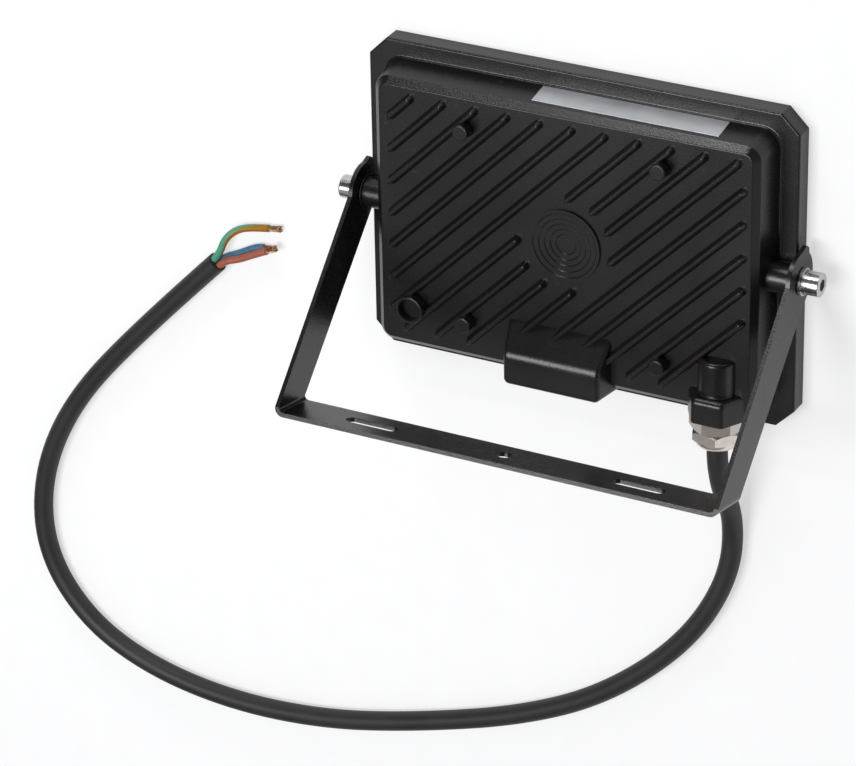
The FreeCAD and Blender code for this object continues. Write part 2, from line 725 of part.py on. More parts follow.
def reflector():
    # white sheet tray standing on the LED board, open toward the glass
    top = INNER_Z - BOARD_T
    bend = top - TRAY_COLLAR
    low = SEAT_Z + 1.2
    w0 = MOUTH_W - 2 * TRAY_GAP
    h0 = MOUTH_H - 2 * TRAY_GAP
    w1 = BOARD_W - 2 * TRAY_EDGE
    h1 = BOARD_H - 2 * TRAY_EDGE

    def skin(g):
        a = rounded_rect(w0 - 2 * g, h0 - 2 * g, 5.0, low)
        b = rounded_rect(w1 - 2 * g, h1 - 2 * g, 3.0, bend, 0.0, BOARD_Y)
        c = rounded_rect(w1 - 2 * g, h1 - 2 * g, 3.0, bend, 0.0, BOARD_Y)
        collar = Part.Face(c).extrude(V(0, 0, TRAY_COLLAR))
        return Part.makeLoft([a, b], True, True).fuse(collar)

    return skin(0.0).cut(skin(TRAY_T))


def driver_board():
    z = INNER_Z - BOARD_T
    body = box(DRIVER_X0, DRIVER_X1, DRIVER_Y0, DRIVER_Y1, z, INNER_Z)
    for x, y in DRIVER_SCREWS:
        body = body.cut(cyl(1.6, 4, V(x, y, z - 1)))
    return body


def capacitor():
    # lies in the hollow of the driver box
    body = cyl(CAP_R, CAP_LEN, V(CAP_X, CAP_Y, CAP_Z), V(1, 0, 0))
    ends = edges_where(body, lambda b: b.XLength < 0.1)
    return body.makeFillet(0.5, ends)


def capacitor_legs():
    made = []
    x = CAP_X + CAP_LEN
    r = 0.35
    for dy in (-1.2, 1.2):
        made.append(cyl(r, 5.0, V(x, CAP_Y + dy, CAP_Z), V(1, 0, 0)))
        made.append(cyl(r, CAP_Z - INNER_Z + r, V(x + 5.0 + r, CAP_Y + dy, INNER_Z)))
    return made


def driver_chips():
    # bridge, two controllers and a row of small ones, under the board
    z = INNER_Z - BOARD_T
    x = DRIVER_X0
    y = DRIVER_Y1

    def chip(dx, dy, w, h, t):
        return box(x + dx, x + dx + w, y - dy - h, y - dy, z - t, z)

    made = [chip(3.0, 6.5, 5.0, 6.0, 1.8), chip(12.0, 6.5, 6.0, 4.0, 1.6)]
    made.append(chip(22.0, 6.5, 6.0, 4.0, 1.6))
    for i in range(5):
        made.append(chip(12.0 + 4 * i, 3.3, 2.0, 1.2, 0.6))
    return made


def choke():
    z = INNER_Z - BOARD_T
    return ring(5.0, 2.4, 3.2, V(DRIVER_X1 - 21.0, DRIVER_Y1 - 7.0, z - 3.2))


def terminal_block():
    z = INNER_Z - BOARD_T
    edge = 2.6
    end = POLE_X + POLE_W
    body = box(POLE_X, end, POLE_Y - edge, POLE_Y + 2 * POLE_PITCH + edge, z - POLE_H, z)
    for i in range(3):
        y = POLE_Y + POLE_PITCH * i
        body = body.cut(cyl(LEAD_R + 0.2, 4.0, V(end, y, z - POLE_H / 2), V(-1, 0, 0)))
        body = body.cut(cyl(1.4, 0.9, V(POLE_X + 3.0, y, z - POLE_H)))
    return body


def driver_screws():
    made = []
    under = INNER_Z - BOARD_T
    for x, y in DRIVER_SCREWS:
        head = cyl(2.5, 1.5, V(x, y, under - 1.5))
        head = head.makeFillet(0.5, edges_where(head, lambda b: b.ZMax < under - 1.4))
        head = head.fuse(cyl(1.4, BOARD_T - 0.05, V(x, y, under)))
        made.append(head.cut(box(x - 1.8, x + 1.8, y - 0.3, y + 0.3, under - 1.6, under - 0.8)))
    return made


def gland_body():
    y = COLLAR_Y1
    flange = hexagon(NUT_AF, BODY_HEX_Y, y - 0.05, GLAND_X, GLAND_Z, math.radians(12))
    thread = cyl(GLAND_BORE_R - 0.15, THREAD_DEPTH - 0.3, V(GLAND_X, y - 0.1, GLAND_Z), V(0, 1, 0))
    neck = cyl(NECK_R, 4.4, V(GLAND_X, BODY_HEX_Y - 4.2, GLAND_Z), V(0, 1, 0))
    body = flange.multiFuse([thread, neck])
    bore = cyl(5.6, 30, V(GLAND_X, BODY_HEX_Y - 5, GLAND_Z), V(0, 1, 0))
    body = body.cut(bore)
    cone = Part.makeCone(9.2, 11.5, 2.3, V(GLAND_X, BODY_HEX_Y, GLAND_Z), V(0, 1, 0))
    upper = cyl(11.5, 30, V(GLAND_X, BODY_HEX_Y + 2.3, GLAND_Z), V(0, 1, 0))
    return body.common(cone.fuse(upper))


def gland_seal():
    y0 = NUT_END_Y + NUT_LIP + 0.4
    return ring(SEAL_R, CABLE_R + 0.02, 8.6, V(GLAND_X, y0, GLAND_Z), V(0, 1, 0))


def gland_nut():
    z = GLAND_Z
    y1 = BODY_HEX_Y - 0.3
    hexa = hexagon(NUT_AF - 0.6, NUT_HEX_Y, y1, GLAND_X, z, math.radians(38))
    cone = Part.makeCone(8.6, 10.4, 1.6, V(GLAND_X, y1, z), V(0, -1, 0))
    rest = cyl(10.4, 10, V(GLAND_X, y1 - 1.6, z), V(0, -1, 0))
    hexa = hexa.common(cone.fuse(rest))
    # domed end turned about the cable's axis
    profile = [V(0, NUT_HEX_Y + 0.1, 0), V(8.35, NUT_HEX_Y + 0.1, 0)]
    arc = Part.Arc(V(8.35, NUT_HEX_Y + 0.1, 0), V(7.3, NUT_HEX_Y - 2.1, 0), V(4.9, NUT_END_Y, 0))
    wire = Part.Wire([
        Part.LineSegment(profile[0], profile[1]).toShape(),
        arc.toShape(),
        Part.LineSegment(V(4.9, NUT_END_Y, 0), V(0, NUT_END_Y, 0)).toShape(),
        Part.LineSegment(V(0, NUT_END_Y, 0), profile[0]).toShape(),
    ])
    dome = Part.Face(wire).revolve(V(0, 0, 0), V(0, 1, 0), 360)
    dome.translate(V(GLAND_X, 0, z))
    body = hexa.fuse(dome)
    body = body.cut(cyl(NUT_MOUTH_R, 30, V(GLAND_X, NUT_END_Y - 1, z), V(0, 1, 0)))
    return body.cut(cyl(NUT_BORE_R, 30, V(GLAND_X, NUT_END_Y + NUT_LIP, z), V(0, 1, 0)))


def run(points, radius, name):
    # round wire along straight runs joined by tangent arcs
    edges = []
    at = points[0]
    radii = []
    length = 0.0
    for i in range(1, len(points) - 1):
        p = points[i]
        u = p - points[i - 1]
        w = points[i + 1] - p
        lu = u.Length
        lw = w.Length
        u = u * (1 / lu)
        w = w * (1 / lw)
        cut = BEND_SHARE * min(lu, lw)
        turn = u.getAngle(w)
        radii.append(round(cut / math.tan(turn / 2), 1))
        a = p - u * cut
        c = p + w * cut
        inward = (w - u) * (1 / (w - u).Length)
        r = cut / math.tan(turn / 2)
        b = p + inward * (r / math.cos(turn / 2) - r)
        edges.append(Part.LineSegment(at, a).toShape())
        edges.append(Part.Arc(a, b, c).toShape())
        length += at.distanceToPoint(a) + r * turn
        at = c
    edges.append(Part.LineSegment(at, points[-1]).toShape())
    length += at.distanceToPoint(points[-1])
    path = Part.Wire(edges)
    start = points[1] - points[0]
    profile = Part.Wire([Part.makeCircle(radius, points[0], start)])
    body = path.makePipeShell([profile], True, True)
    share = body.Volume / (math.pi * radius ** 2 * length)
    print(name, "length", round(length, 1), "radii", radii, "volume share", round(share, 4))
    return body


def cable_points():
    drop = GLAND_Z - CABLE_R
    slant = drop / math.sin(DROP_ANGLE)
    cut = BEND_SHARE * slant
    bend_y = NUT_END_Y - cut
    low_y = bend_y - slant * math.cos(DROP_ANGLE)
    pts = [V(GLAND_X, CABLE_TAIL_Y, GLAND_Z), V(GLAND_X, bend_y, GLAND_Z)]
    pts.append(V(GLAND_X, low_y, CABLE_R))
    loop = [(57.1, -129.2), (40.1, -160.4), (8.3, -190.4), (-26.9, -209.4), (-71.8, -224.4)]
    loop += [(-111.3, -234.1), (-151.9, -236.6), (-188.8, -230.6), (-216.9, -216.0)]
    loop += [(-234.2, -189.5), (-233.7, -155.4), (-217.4, -119.1), (-185.0, -81.0)]
    loop += [(-150.4, -45.5)]
    return pts + [V(x, y, CABLE_R) for x, y in loop]


def cable_end():
    pts = cable_points()
    d = pts[-1] - pts[-2]
    d = d * (1 / d.Length)
    side = V(-d.y, d.x, 0)
    return pts[-1], d, side


def core(i, name):
    # three cores leave the sheath's end, 120 degrees apart
    end, d, side = cable_end()
    spread = CORE_R * 2 / math.sqrt(3) + 0.08
    low = -spread / 2
    aside = spread * math.sqrt(3) / 2
    ways = (
        [(0, aside, low), (6.5, aside, low), (13.3, 4.2, -1.1), (20.0, 4.4, -1.6)]
        + [(25.8, 2.4, -2.1), (30.8, -2.2, -2.3)],
        [(0, 0, spread), (6.5, 0, spread), (14.5, -2.2, 1.2), (22.3, -6.0, 0.6)],
        [(0, -aside, low), (6.5, -aside, low), (14.5, -4.6, -1.4), (22.9, -9.0, -2.0)],
    )
    pts = []
    for along, across, up in ways[i]:
        pts.append(end + d * along + side * across + V(0, 0, up))
    return run(pts, CORE_R, name), pts


def copper_end(pts, length):
    d = pts[-1] - pts[-2]
    return cyl(STRAND_R, length, pts[-1], d)


def label_plate():
    # bare sticker on the sloped top wall
    z0 = RIM_T + 1.2
    pts = []
    for z, lift in ((z0, 0.02), (z0 + LABEL_H, 0.02), (z0 + LABEL_H, LABEL_T), (z0, LABEL_T)):
        pts.append(V(LABEL_X, FOOT_H / 2 - DRAFT * (z - RIM_T) + lift, z))
    return Part.Face(Part.makePolygon(pts + [pts[0]])).extrude(V(LABEL_W, 0, 0))


def inner_lead(i, name):
    # from the sheath's inner end to its pole of the terminal block
    z = INNER_Z - BOARD_T - POLE_H / 2
    y = POLE_Y + POLE_PITCH * i
    dx, up, straight, turn_x = (
        (-1.4, -0.8, 3.4, 9.2), (0.0, 1.62, 4.6, 6.2), (1.4, -0.8, 7.6, 6.7)
    )[i]
    start = V(GLAND_X + dx, CABLE_TAIL_Y, GLAND_Z + up)
    pts = [start, start + V(0, straight, 0), V(GLAND_X - turn_x, y, z)]
    return run(pts + [V(POLE_X + 7.0, y, z)], LEAD_R, name)


def save(name, solids):
    if not isinstance(solids, list):
        solids = [solids]
    shape = solids[0] if len(solids) == 1 else Part.makeCompound(solids)
    ok = all(s.isValid() for s in solids)
    if not ok or shape.Volume <= 0:
        print("CHECK", name, ok, shape.Volume)
    b = shape.BoundBox
    print(name, len(shape.Solids), round(shape.Volume / 1000, 2), "cm3",
          [round(v, 1) for v in (b.XMin, b.XMax, b.YMin, b.YMax, b.ZMin, b.ZMax)])
    shape.exportStep("parts/" + name + ".step")


save("housing", housing())
save("front_glass", front_glass())
save("glass_gasket", glass_gasket())
save("reflector", reflector())
save("led_board", led_board())
save("leds", leds())
save("board_screws", board_screws())
save("driver_board", driver_board())
save("driver_chips", driver_chips())
save("capacitor", capacitor())
save("capacitor_legs", capacitor_legs())
save("choke", choke())
save("terminal_block", terminal_block())
save("driver_screws", driver_screws())
save("label_plate", label_plate())
save("bracket", bracket())
for title, maker in (
    ("tilt_bolts", tilt_bolt),
    ("spring_washers", spring_washer),
    ("flat_washers", flat_washer),
    ("spacer_washers", spacer),
):
    save(title, [maker(-1), maker(1)])
save("gland_body", gland_body())
save("gland_seal", gland_seal())
save("gland_nut", gland_nut())
save("cable_sheath", run(cable_points(), CABLE_R, "cable_sheath"))
tips = []
for i, (title, bare) in enumerate((
    ("core_green_yellow", 5.2), ("core_blue", 4.2), ("core_brown", 5.0)
)):
    solid, way = core(i, title)
    save(title, solid)
    tips.append(copper_end(way, bare))
save("copper_ends", tips)
for i, title in enumerate(("lead_blue", "lead_brown", "lead_green_yellow")):
    save(title, inner_lead(i, title))
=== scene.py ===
import bpy, bmesh
import math
from mathutils import Matrix, Vector


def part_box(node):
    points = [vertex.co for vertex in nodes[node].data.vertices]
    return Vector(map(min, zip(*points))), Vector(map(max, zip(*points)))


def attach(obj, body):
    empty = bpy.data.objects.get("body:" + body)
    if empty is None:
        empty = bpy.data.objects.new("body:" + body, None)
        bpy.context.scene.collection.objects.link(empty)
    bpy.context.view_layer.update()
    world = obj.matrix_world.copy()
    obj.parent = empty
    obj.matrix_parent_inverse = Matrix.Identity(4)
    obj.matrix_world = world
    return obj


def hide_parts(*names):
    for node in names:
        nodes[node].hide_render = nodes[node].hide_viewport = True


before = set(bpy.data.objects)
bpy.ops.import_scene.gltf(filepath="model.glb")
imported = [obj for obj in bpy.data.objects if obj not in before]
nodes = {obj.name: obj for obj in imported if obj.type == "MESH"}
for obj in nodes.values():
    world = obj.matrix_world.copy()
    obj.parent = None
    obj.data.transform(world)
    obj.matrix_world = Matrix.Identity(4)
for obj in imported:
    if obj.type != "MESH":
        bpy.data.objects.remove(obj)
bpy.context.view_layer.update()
scene = bpy.context.scene

# camera, solved from the photograph's rim, ribs and bracket

CAMERA_PLACE = (0.6233, 0.7035, 1.3057)
CAMERA_RIGHT = (0.8886, -0.0168, -0.4585)
CAMERA_BACK = (0.4122, 0.4681, 0.7817)

camera_data = bpy.data.cameras.new("photo_camera")
camera_data.sensor_width = 36.0
camera_data.lens = 192.0
camera_data.shift_x = -0.00076
camera_data.shift_y = -0.0007
camera_data.clip_start = 0.05
camera_data.clip_end = 20.0
camera = bpy.data.objects.new("photo_camera", camera_data)
scene.collection.objects.link(camera)
back = Vector(CAMERA_BACK).normalized()
up = back.cross(Vector(CAMERA_RIGHT).normalized()).normalized()
right = up.cross(back).normalized()
facing = Matrix((right, up, back)).transposed().to_4x4()
camera.matrix_world = Matrix.Translation(CAMERA_PLACE) @ facing
scene.camera = camera


class Value:
    """One socket of a node; arithmetic on it adds Math nodes."""

    def __init__(self, finish, socket):
        self.finish = finish
        self.socket = socket

    def worked(self, operation, *values):
        return self.finish.node(
            "ShaderNodeMath", {"operation": operation}, dict(enumerate(values))
        )["Value"]

    def __add__(self, other):
        return self.worked("ADD", self, other)

    def __radd__(self, other):
        return self.worked("ADD", other, self)

    def __sub__(self, other):
        return self.worked("SUBTRACT", self, other)

    def __rsub__(self, other):
        return self.worked("SUBTRACT", other, self)

    def __mul__(self, other):
        return self.worked("MULTIPLY", self, other)

    def __rmul__(self, other):
        return self.worked("MULTIPLY", other, self)

    def __truediv__(self, other):
        return self.worked("DIVIDE", self, other)

    def __rtruediv__(self, other):
        return self.worked("DIVIDE", other, self)

    def __abs__(self):
        return self.worked("ABSOLUTE", self)

    def root(self):
        return self.worked("SQRT", self)

    def sine(self):
        return self.worked("SINE", self)

    def fraction(self):
        return self.worked("FRACT", self)

    def larger(self, other):
        return self.worked("MAXIMUM", self, other)

    def band(self, low, high):
        """0 at low, 1 at high and smooth between."""
        return self.finish.node(
            "ShaderNodeMapRange", {"interpolation_type": "SMOOTHSTEP", "clamp": True},
            {"Value": self, "From Min": low, "From Max": high},
        )["Result"]


class Outputs:
    """A node's outputs, each given as a Value."""

    def __init__(self, finish, made):
        self.finish = finish
        self.made = made

    def __getitem__(self, key):
        return Value(self.finish, self.made.outputs[key])


class Finish:
    """A material built up node by node."""

    def __init__(self, name):
        self.data = bpy.data.materials.new(name)
        self.start("ShaderNodeOutputMaterial")

    def start(self, output):
        self.data.use_nodes = True
        self.tree = self.data.node_tree
        self.tree.nodes.clear()
        self.out = self.tree.nodes.new(output)

    def node(self, kind, settings=None, values=None):
        made = self.tree.nodes.new(kind)
        for key, value in (settings or {}).items():
            if key == "stops":
                ramp = made.color_ramp
                while len(ramp.elements) < len(value):
                    ramp.elements.new(0.5)
                for element, (at, colour) in zip(ramp.elements, value):
                    element.position = at
                    element.color = (*colour, 1.0)
            else:
                setattr(made, key, value)
        for key, value in (values or {}).items():
            socket = made.inputs[key]
            if isinstance(value, Value):
                self.tree.links.new(value.socket, socket)
            elif isinstance(value, tuple) and len(value) == 3 and socket.type == "RGBA":
                socket.default_value = (*value, 1.0)
            else:
                socket.default_value = value
        return Outputs(self, made)

    def place(self):
        return self.node("ShaderNodeTexCoord")["Object"]

    def axes(self, where):
        return self.node("ShaderNodeSeparateXYZ", {}, {0: where})

    def noise(self, scale, detail=3.0, rough=0.5, where=None):
        values = {"Vector": where or self.place(), "Scale": scale, "Detail": detail, "Roughness": rough}
        return self.node("ShaderNodeTexNoise", {}, values)["Fac"]

    def stretch(self, x, y, z):
        values = {"Vector": self.place(), "Scale": (x, y, z)}
        return self.node("ShaderNodeMapping", {}, values)["Vector"]

    def ramp(self, value, *stops):
        return self.node("ShaderNodeValToRGB", {"stops": stops}, {"Fac": value})["Color"]

    def mix(self, factor, a, b):
        # a colour Mix node has its factor at input 0, its colours at 6 and 7 and its result at 2
        return self.node("ShaderNodeMix", {"data_type": "RGBA"}, {0: factor, 6: a, 7: b})[2]

    def bump(self, height, distance, strength=1.0, under=None):
        values = {"Height": height, "Distance": distance, "Strength": strength}
        if under is not None:
            values["Normal"] = under
        return self.node("ShaderNodeBump", {}, values)["Normal"]

    def surface(self, **sockets):
        names = {key.replace("_", " "): value for key, value in sockets.items()}
        self.join(self.node("ShaderNodeBsdfPrincipled", {}, names)["BSDF"])
        return self

    def join(self, shader):
        self.tree.links.new(shader.socket, self.out.inputs["Surface"])


def toned(colour, tone):
    return tuple(tone * part for part in colour)


def powder_coat(name, tone=0.0070, rough=0.27):
    m = Finish(name)
    cloud = m.noise(26.0)
    grain = m.noise(2600.0, 2.0, 0.6)
    peel = m.noise(1500.0, 2.0)
    dust = m.noise(180.0, 5.0, 0.65).band(0.62, 0.80)
    colour = m.ramp(
        cloud * 0.6 + grain * 0.4,
        (0.3, toned((0.90, 0.76, 0.86), tone)), (0.7, toned((1.32, 1.10, 1.26), tone)),
    )
    colour = m.mix(dust * 0.03, colour, (0.30, 0.28, 0.27))
    relief = m.bump(peel, distance=0.00008, strength=0.5)
    relief = m.bump(grain, distance=0.00003, strength=0.4, under=relief)
    return m.surface(
        Base_Color=colour,
        Roughness=(cloud - 0.5) * 0.16 + (grain - 0.5) * 0.10 + dust * 0.08 + rough,
        Normal=relief,
    )


def bright_steel(name, tone, rough, lathe=True):
    m = Finish(name)
    lines = m.noise(1.0, 3.0, 0.6, m.stretch(2600.0, 60.0, 60.0)) if lathe else m.noise(900.0)
    smear = m.noise(300.0, 4.0, 0.6)
    colour = m.ramp(
        lines * 0.5 + smear * 0.5,
        (0.25, toned((0.80, 0.79, 0.78), tone)), (0.75, toned((1.12, 1.11, 1.10), tone)),
    )
    return m.surface(
        Base_Color=colour,
        Metallic=1.0,
        Roughness=(lines - 0.5) * 0.18 + (smear - 0.5) * 0.12 + rough,
        Normal=m.bump(lines, distance=0.00002, strength=0.35),
    )


def nickel(name, tone):
    m = Finish(name)
    turned = m.noise(1.0, 3.0, 0.6, m.stretch(120.0, 3200.0, 120.0))
    cloud = m.noise(240.0, 4.0, 0.6)
    colour = m.ramp(
        cloud,
        (0.30, toned((0.73, 0.64, 0.59), tone)), (0.55, toned((0.86, 0.78, 0.725), tone)),
        (0.80, toned((0.91, 0.845, 0.80), tone)),
    )
    return m.surface(
        Base_Color=colour,
        Metallic=1.0,
        Roughness=(turned - 0.5) * 0.16 + (cloud - 0.5) * 0.14 + 0.30,
        Normal=m.bump(turned, distance=0.00002, strength=0.3),
    )


def rubber(name, tone, rough):
    m = Finish(name)
    grain = m.noise(2200.0, 3.0, 0.6)
    cloud = m.noise(45.0, 4.0, 0.6)
    scuff = m.noise(420.0, 5.0, 0.7).band(0.62, 0.76)
    colour = m.ramp(
        cloud, (0.3, toned((0.80, 0.78, 0.78), tone)), (0.7, toned((1.30, 1.26, 1.26), tone))
    )
    colour = m.mix(scuff * 0.06, colour, (0.22, 0.21, 0.20))
    relief = m.bump(grain, distance=0.00005, strength=0.35)
    relief = m.bump(cloud, distance=0.0004, strength=0.15, under=relief)
    return m.surface(
        Base_Color=colour,
        Roughness=(grain - 0.5) * 0.14 + (cloud - 0.5) * 0.14 + rough,
        Normal=relief,
    )


def plastic(name, colour, rough, dark=0.8):
    m = Finish(name)
    grain = m.noise(1500.0, 2.0)
    cloud = m.noise(500.0)
    shade = m.ramp(
        cloud * 0.5 + grain * 0.5, (0.3, toned(colour, dark)), (0.7, toned(colour, 2 - dark))
    )
    return m.surface(
        Base_Color=shade,
        Roughness=(cloud - 0.5) * 0.15 + (grain - 0.5) * 0.08 + rough,
        Normal=m.bump(grain, distance=0.00003, strength=0.25),
    )


def label_film(name):
    m = Finish(name)
    streak = m.noise(1.0, 3.0, 0.6, m.stretch(20.0, 20.0, 2400.0))
    haze = m.noise(90.0)
    silver = m.ramp(
        haze * 0.6 + streak * 0.4, (0.3, (0.44, 0.46, 0.48)), (0.7, (0.62, 0.635, 0.65))
    )
    return m.surface(
        Base_Color=silver,
        Metallic=0.55,
        Roughness=(streak - 0.5) * 0.12 + (haze - 0.5) * 0.1 + 0.34,
        Normal=m.bump(haze, distance=0.0001, strength=0.2),
    )


# fired black border behind the glass: its width at the ends and along the sides
BORDER_X = 0.008
BORDER_Y = 0.0075


def clear_glass(name):
    m = Finish(name)
    smear = m.noise(60.0, 4.0, 0.6)
    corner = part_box("front_glass")[1]
    where = m.axes(m.place())
    past_x = abs(where["X"]) - (corner.x - BORDER_X)
    past_y = abs(where["Y"]) - (corner.y - BORDER_Y)
    border = past_x.larger(past_y).band(-0.0002, 0.0002)
    return m.surface(
        Base_Color=m.mix(border, (0.92, 0.97, 0.95), (0.012, 0.012, 0.012)),
        Roughness=(smear - 0.5) * 0.04 + 0.05,
        Alpha=border * 0.88 + 0.12,
        IOR=1.5,
    )


def banded_core(name):
    # green with a yellow stripe that winds slowly round the core, on the tube's own map
    m = Finish(name)
    uv = m.axes(m.node("ShaderNodeTexCoord")["UV"])
    around = uv["Y"] + uv["X"] * 0.33 - 0.10
    stripe = (around * (2 * math.pi)).sine().band(-0.05, 0.10)
    grain = m.noise(1500.0)
    green = m.ramp(grain, (0.3, (0.05, 0.23, 0.15)), (0.7, (0.08, 0.33, 0.22)))
    return m.surface(
        Base_Color=m.mix(stripe, green, (0.31, 0.13, 0.008)),
        Roughness=(grain - 0.5) * 0.15 + 0.40,
        Specular_IOR_Level=0.3,
        Normal=m.bump(grain, distance=0.00003, strength=0.3),
    )


def strand_copper(name):
    m = Finish(name)
    grain = m.noise(1600.0)
    colour = m.ramp(
        grain, (0.25, (0.34, 0.18, 0.09)), (0.55, (0.60, 0.36, 0.20)), (0.8, (0.76, 0.52, 0.32))
    )
    return m.surface(
        Base_Color=colour,
        Metallic=1.0,
        Roughness=(grain - 0.5) * 0.2 + 0.36,
        Normal=m.bump(grain, distance=0.00003, strength=0.3),
    )


def circuit(name):
    m = Finish(name)
    tracks = m.noise(1.0, 1.0, 0.4, m.stretch(260.0, 700.0, 1.0)).band(0.52, 0.55)
    grain = m.noise(900.0)
    return m.surface(
        Base_Color=m.mix(tracks * 0.6, (0.02, 0.12, 0.05), (0.05, 0.26, 0.11)),
        Roughness=(grain - 0.5) * 0.1 + 0.34,
        Normal=m.bump(tracks, distance=0.00003, strength=0.5),
    )


# LED packages: how many each way, the side of one, and the radius of its yellow spot
LED_COLUMNS = 8
LED_ROWS = 5
LED_SIDE = 0.003
LED_SPOT = 0.0011


def phosphor(name):
    m = Finish(name)
    low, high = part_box("leds")
    pitch_x = (high.x - low.x - LED_SIDE) / (LED_COLUMNS - 1)
    pitch_y = (high.y - low.y - LED_SIDE) / (LED_ROWS - 1)
    where = m.axes(m.place())
    across = (where["X"] - (low.x + LED_SIDE / 2)) / pitch_x + 0.5
    along = (where["Y"] - (low.y + LED_SIDE / 2)) / pitch_y + 0.5
    dx = (across.fraction() - 0.5) * pitch_x
    dy = (along.fraction() - 0.5) * pitch_y
    spot = (dx * dx + dy * dy).root().band(LED_SPOT + 0.00015, LED_SPOT)
    grain = m.noise(1800.0)
    return m.surface(
        Base_Color=m.mix(spot, (0.80, 0.80, 0.78), (0.82, 0.62, 0.08)),
        Roughness=(grain - 0.5) * 0.1 + 0.35,
        Normal=m.bump(grain, distance=0.00003, strength=0.3),
    )


FINISHES = {
    "housing": powder_coat("housing_coat"),
    "bracket": powder_coat("bracket_coat", 0.0068, 0.26),
    "front_glass": clear_glass("front_glass"),
    "glass_gasket": plastic("gasket_silicone", (0.40, 0.40, 0.39), 0.6),
    "reflector": plastic("reflector_white", (0.80, 0.80, 0.79), 0.45, dark=0.95),
    "led_board": plastic("board_white", (0.78, 0.78, 0.76), 0.4, dark=0.95),
    "leds": phosphor("led_phosphor"),
    "board_screws": bright_steel("board_screw_zinc", 0.5, 0.35, lathe=False),
    "driver_board": circuit("driver_board_green"),
    "driver_chips": plastic("chip_epoxy", (0.02, 0.02, 0.02), 0.5),
    "capacitor": plastic("capacitor_sleeve", (0.02, 0.025, 0.05), 0.35),
    "capacitor_legs": bright_steel("tinned_wire", 0.65, 0.3, lathe=False),
    "choke": plastic("choke_core", (0.06, 0.09, 0.06), 0.6),
    "terminal_block": plastic("terminal_grey", (0.55, 0.55, 0.52), 0.45),
    "driver_screws": bright_steel("driver_screw_zinc", 0.5, 0.35, lathe=False),
    "label_plate": label_film("bare_label"),
    "tilt_bolts": bright_steel("tilt_bolt_stainless", 0.66, 0.22),
    "spring_washers": bright_steel("spring_washer_stainless", 0.6, 0.28),
    "flat_washers": bright_steel("flat_washer_stainless", 0.66, 0.25),
    "spacer_washers": plastic("spacer_nylon", (0.016, 0.016, 0.016), 0.5),
    "gland_body": nickel("gland_body_nickel", 0.74),
    # the nut has the body's nickel at a much brighter tone: painted light, standing in for the bright
    # floor its facets reflect
    "gland_nut": nickel("gland_nut_nickel", 1.08),
    "gland_seal": rubber("gland_seal_rubber", 0.02, 0.6),
    "lead_blue": plastic("lead_blue_pvc", (0.05, 0.20, 0.52), 0.4),
    "lead_brown": plastic("lead_brown_pvc", (0.42, 0.13, 0.07), 0.4),
    "lead_green_yellow": plastic("lead_earth_pvc", (0.05, 0.30, 0.10), 0.4),
}
for node, finish in FINISHES.items():
    for holder in nodes[node].material_slots:
        holder.material = finish.data


def route_curve(name, points, thick):
    """Smooth NURBS line with these control points, round if thick is over 0."""
    data = bpy.data.curves.new(name, "CURVE")
    data.dimensions = "3D"
    data.resolution_u = 10
    spline = data.splines.new("NURBS")
    spline.points.add(len(points) - 1)
    for point, at in zip(spline.points, points):
        point.co = (*at, 1.0)
    spline.order_u = 3
    spline.use_endpoint_u = True
    data.bevel_depth = thick
    data.bevel_resolution = 7
    data.use_fill_caps = True
    made = bpy.data.objects.new(name, data)
    scene.collection.objects.link(made)
    return made


def line_through(points):
    """The smooth line itself, read back from its curve."""
    curve = route_curve("line", points, 0.0)
    bpy.context.view_layer.update()
    mesh = bpy.data.meshes.new_from_object(curve)
    line = [v.co.copy() for v in mesh.vertices]
    # removing the curve's data takes its object along
    bpy.data.curves.remove(curve.data)
    bpy.data.meshes.remove(mesh)
    return line


# cable, on the route of part.py: out of the gland, down, and along the floor

CABLE_R = 0.0038
CABLE_EXIT = (0.0592, -0.0646, 0.0205)
CABLE_BEND = (0.0592, -0.0780, 0.0205)
floor_route = [
    (0.0592, -0.1028), (0.0571, -0.1292), (0.0401, -0.1604), (0.0083, -0.1904),
    (-0.0269, -0.2094), (-0.0718, -0.2244), (-0.1113, -0.2341), (-0.1519, -0.2366),
    (-0.1888, -0.2306), (-0.2169, -0.2160), (-0.2342, -0.1895), (-0.2337, -0.1554),
    (-0.2174, -0.1191), (-0.1850, -0.0810), (-0.1504, -0.0455),
]
sheath_points = [CABLE_EXIT, CABLE_BEND] + [(x, y, CABLE_R) for x, y in floor_route]
sheath = route_curve("cable", sheath_points, CABLE_R)
sheath.data.materials.append(rubber("cable_rubber", 0.016, 0.52).data)
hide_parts("cable_sheath")

# length of a tube over which its map's u grows by 1
UV_STEP = 0.02


